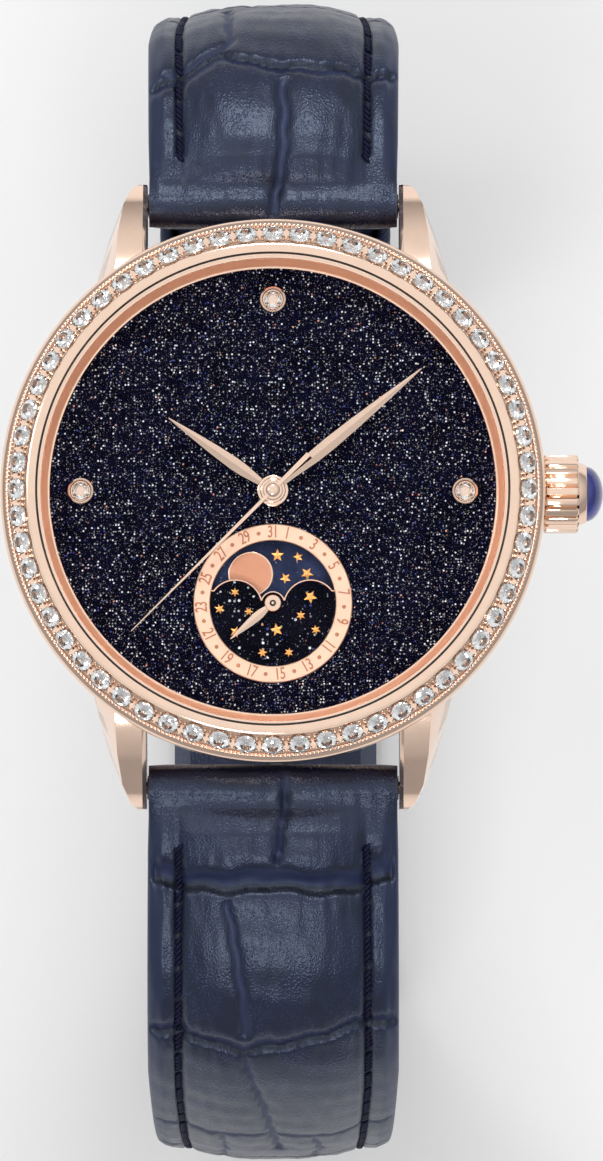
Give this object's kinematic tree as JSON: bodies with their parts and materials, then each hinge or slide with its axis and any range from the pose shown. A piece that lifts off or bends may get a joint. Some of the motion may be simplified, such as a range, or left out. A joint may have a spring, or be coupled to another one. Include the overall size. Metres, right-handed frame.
{
  "type": "mechanical wristwatch",
  "caption": "Round wristwatch with stone-set bezel, moon phase and date sub-dial, self-winding movement and a padded leather strap with pin buckle.",
  "frame": {"origin": "on the axis of the hands, on the flat outer face of the case back glass, which lies level with the case back ring", "axes": "+Z out of the dial, +X to 3 o'clock and the crown, +Y to 12 o'clock"},
  "size_m": [0.038, 0.0752, 0.061],
  "materials": {
    "rose_gold": "polished rose gold",
    "rotor_gold": "rose gold with fine turned lines",
    "diamond": "faceted clear stone",
    "crystal_glass": "clear polished",
    "gasket_black": "matte",
    "steel": "fine brushed",
    "plate_silver": "striped, plated",
    "aventurine": "near black blue with fine glitter",
    "moon_sky": "satin blue with gold moons and stars",
    "jewel_red": "polished red",
    "wheel_brass": "gilt",
    "spring_steel": "blued",
    "cabochon_blue": "polished, domed",
    "navy_leather": "embossed, satin"
  },
  "bodies": {
    "case": {"case_middle": "rose_gold", "bezel": "rose_gold", "bezel_stones": "diamond", "crystal": "crystal_glass", "crystal_gasket": "gasket_black", "rehaut_ring": "rose_gold", "case_back": "rose_gold", "case_back_glass": "crystal_glass", "spring_bars": "steel", "crown_tube": "steel", "movement_ring": "steel", "dial": "aventurine", "hour_markers": "rose_gold", "marker_stones": "diamond", "date_ring": "rose_gold", "moon_mask": "aventurine", "mainplate": "plate_silver", "barrel_bridge": "plate_silver", "train_bridge": "plate_silver", "balance_cock": "plate_silver", "pallet_cock": "plate_silver", "jewels": "jewel_red", "movement_screws": "steel", "rotor_bearing": "steel", "jumper_springs": "steel"},
    "rotor": {"rotor": "rotor_gold"},
    "click": {"click": "steel"},
    "winding": {"winding_pinion": "steel"},
    "crown": {"winding_stem": "steel", "crown": "rose_gold", "crown_cabochon": "cabochon_blue", "crown_seal": "gasket_black"},
    "crown_wheel": {"crown_wheel": "steel"},
    "ratchet": {"ratchet_wheel": "steel"},
    "barrel": {"barrel": "wheel_brass", "mainspring": "spring_steel"},
    "centre": {"centre_wheel": "wheel_brass", "cannon_pinion": "steel", "minute_hand": "rose_gold"},
    "third": {"third_wheel": "wheel_brass"},
    "fourth": {"fourth_wheel": "wheel_brass", "second_hand": "rose_gold"},
    "escape": {"escape_wheel": "wheel_brass"},
    "pallets": {"pallet_fork": "steel"},
    "balance": {"balance_wheel": "wheel_brass", "hairspring": "spring_steel"},
    "motion": {"minute_wheel": "wheel_brass"},
    "hour": {"hour_wheel": "wheel_brass", "hour_hand": "rose_gold"},
    "calendar": {"calendar_wheel": "wheel_brass"},
    "date": {"date_star": "steel", "date_hand": "rose_gold"},
    "moon": {"moon_disc": "moon_sky"},
    "strap_12": {"strap_buckle_side": "navy_leather", "fixed_keeper": "navy_leather"},
    "free_keeper": {"free_keeper": "navy_leather"},
    "buckle": {"buckle_frame": "rose_gold", "buckle_bar": "rose_gold"},
    "tongue": {"buckle_tongue": "rose_gold"},
    "strap_6": {"strap_tail_side": "navy_leather"}
  },
  "joints": [
    {"name": "minute_turn", "type": "hinge", "parent": "case", "child": "centre", "pos_m": [0, 0, 0.0046], "axis": [0, 0, -1], "continuous": true},
    {"name": "hour_turn", "type": "hinge", "parent": "case", "child": "hour", "pos_m": [0, 0, 0.006], "axis": [0, 0, -1], "continuous": true},
    {"name": "second_turn", "type": "hinge", "parent": "case", "child": "fourth", "pos_m": [0, 0, 0.0031], "axis": [0, 0, -1], "continuous": true},
    {"name": "third_turn", "type": "hinge", "parent": "case", "child": "third", "pos_m": [0.00189, -0.00327, 0.0037], "axis": [0, 0, -1], "continuous": true},
    {"name": "escape_turn", "type": "hinge", "parent": "case", "child": "escape", "pos_m": [-0.00362, -0.00132, 0.0042], "axis": [0, 0, -1], "continuous": true},
    {"name": "barrel_turn", "type": "hinge", "parent": "case", "child": "barrel", "pos_m": [0.00187, 0.00513, 0.0038], "axis": [0, 0, -1], "continuous": true},
    {"name": "motion_turn", "type": "hinge", "parent": "case", "child": "motion", "pos_m": [0.0012, 0.00208, 0.0057], "axis": [0, 0, -1], "continuous": true},
    {"name": "calendar_turn", "type": "hinge", "parent": "case", "child": "calendar", "pos_m": [-0.00499, -0.00288, 0.006], "axis": [0, 0, -1], "continuous": true},
    {"name": "pallet_rock", "type": "hinge", "parent": "case", "child": "pallets", "pos_m": [-0.00503, -0.00183, 0.0042], "axis": [0, 0, 1], "range_deg": [-5, 5]},
    {"name": "balance_swing", "type": "hinge", "parent": "case", "child": "balance", "pos_m": [-0.00714, -0.0026, 0.0034], "axis": [0, 0, 1], "range_deg": [-270, 270], "deforming": ["hairspring"]},
    {"name": "date_turn", "type": "hinge", "parent": "case", "child": "date", "pos_m": [0, -0.00707, 0.0057], "axis": [0, 0, -1], "continuous": true},
    {"name": "moon_turn", "type": "hinge", "parent": "case", "child": "moon", "pos_m": [0, -0.00707, 0.0062], "axis": [0, 0, -1], "continuous": true},
    {"name": "rotor_turn", "type": "hinge", "parent": "case", "child": "rotor", "pos_m": [0, 0, 0.0016], "axis": [0, 0, 1], "continuous": true},
    {"name": "winding_turn", "type": "hinge", "parent": "case", "child": "winding", "pos_m": [0.0082, 0, 0.0044], "axis": [1, 0, 0], "continuous": true},
    {"name": "crown_pull", "type": "slide", "parent": "winding", "child": "crown", "axis": [1, 0, 0], "range_m": [0, 0.0012]},
    {"name": "crown_wheel_turn", "type": "hinge", "parent": "case", "child": "crown_wheel", "pos_m": [0.0062, 0, 0.0021], "axis": [0, 0, 1], "continuous": true},
    {"name": "ratchet_turn", "type": "hinge", "parent": "case", "child": "ratchet", "pos_m": [0.00187, 0.00513, 0.0021], "axis": [0, 0, 1], "continuous": true},
    {"name": "click_rock", "type": "hinge", "parent": "case", "child": "click", "pos_m": [-0.00246, 0.00763, 0.0021], "axis": [0, 0, 1], "range_deg": [0, 8]},
    {"name": "strap_12_hinge", "type": "hinge", "parent": "case", "child": "strap_12", "pos_m": [0, 0.0185, 0.0024], "axis": [1, 0, 0], "range_deg": [0, 60]},
    {"name": "strap_6_hinge", "type": "hinge", "parent": "case", "child": "strap_6", "pos_m": [0, -0.0185, 0.0024], "axis": [-1, 0, 0], "range_deg": [0, 60]},
    {"name": "keeper_slide", "type": "slide", "parent": "strap_12", "child": "free_keeper", "axis": [0, -0.5, -0.866], "range_m": [-0.004, 0.003]},
    {"name": "buckle_hinge", "type": "hinge", "parent": "strap_12", "child": "buckle", "pos_m": [0, 0.01036, -0.0499], "axis": [1, 0, 0], "range_deg": [-25, 25]},
    {"name": "tongue_hinge", "type": "hinge", "parent": "buckle", "child": "tongue", "pos_m": [0, 0.01036, -0.0499], "axis": [1, 0, 0], "range_deg": [0, 100]}
  ],
  "couplings": [
    {"joint": "hour_turn", "follows": "minute_turn", "ratio": 0.083333},
    {"joint": "third_turn", "follows": "minute_turn", "ratio": -8},
    {"joint": "second_turn", "follows": "minute_turn", "ratio": 60},
    {"joint": "escape_turn", "follows": "minute_turn", "ratio": -600},
    {"joint": "barrel_turn", "follows": "minute_turn", "ratio": -0.16667},
    {"joint": "motion_turn", "follows": "minute_turn", "ratio": -0.33333},
    {"joint": "calendar_turn", "follows": "minute_turn", "ratio": -0.041667},
    {"joint": "crown_wheel_turn", "follows": "winding_turn", "ratio": 0.77778},
    {"joint": "ratchet_turn", "follows": "winding_turn", "ratio": -0.54012}
  ]
}
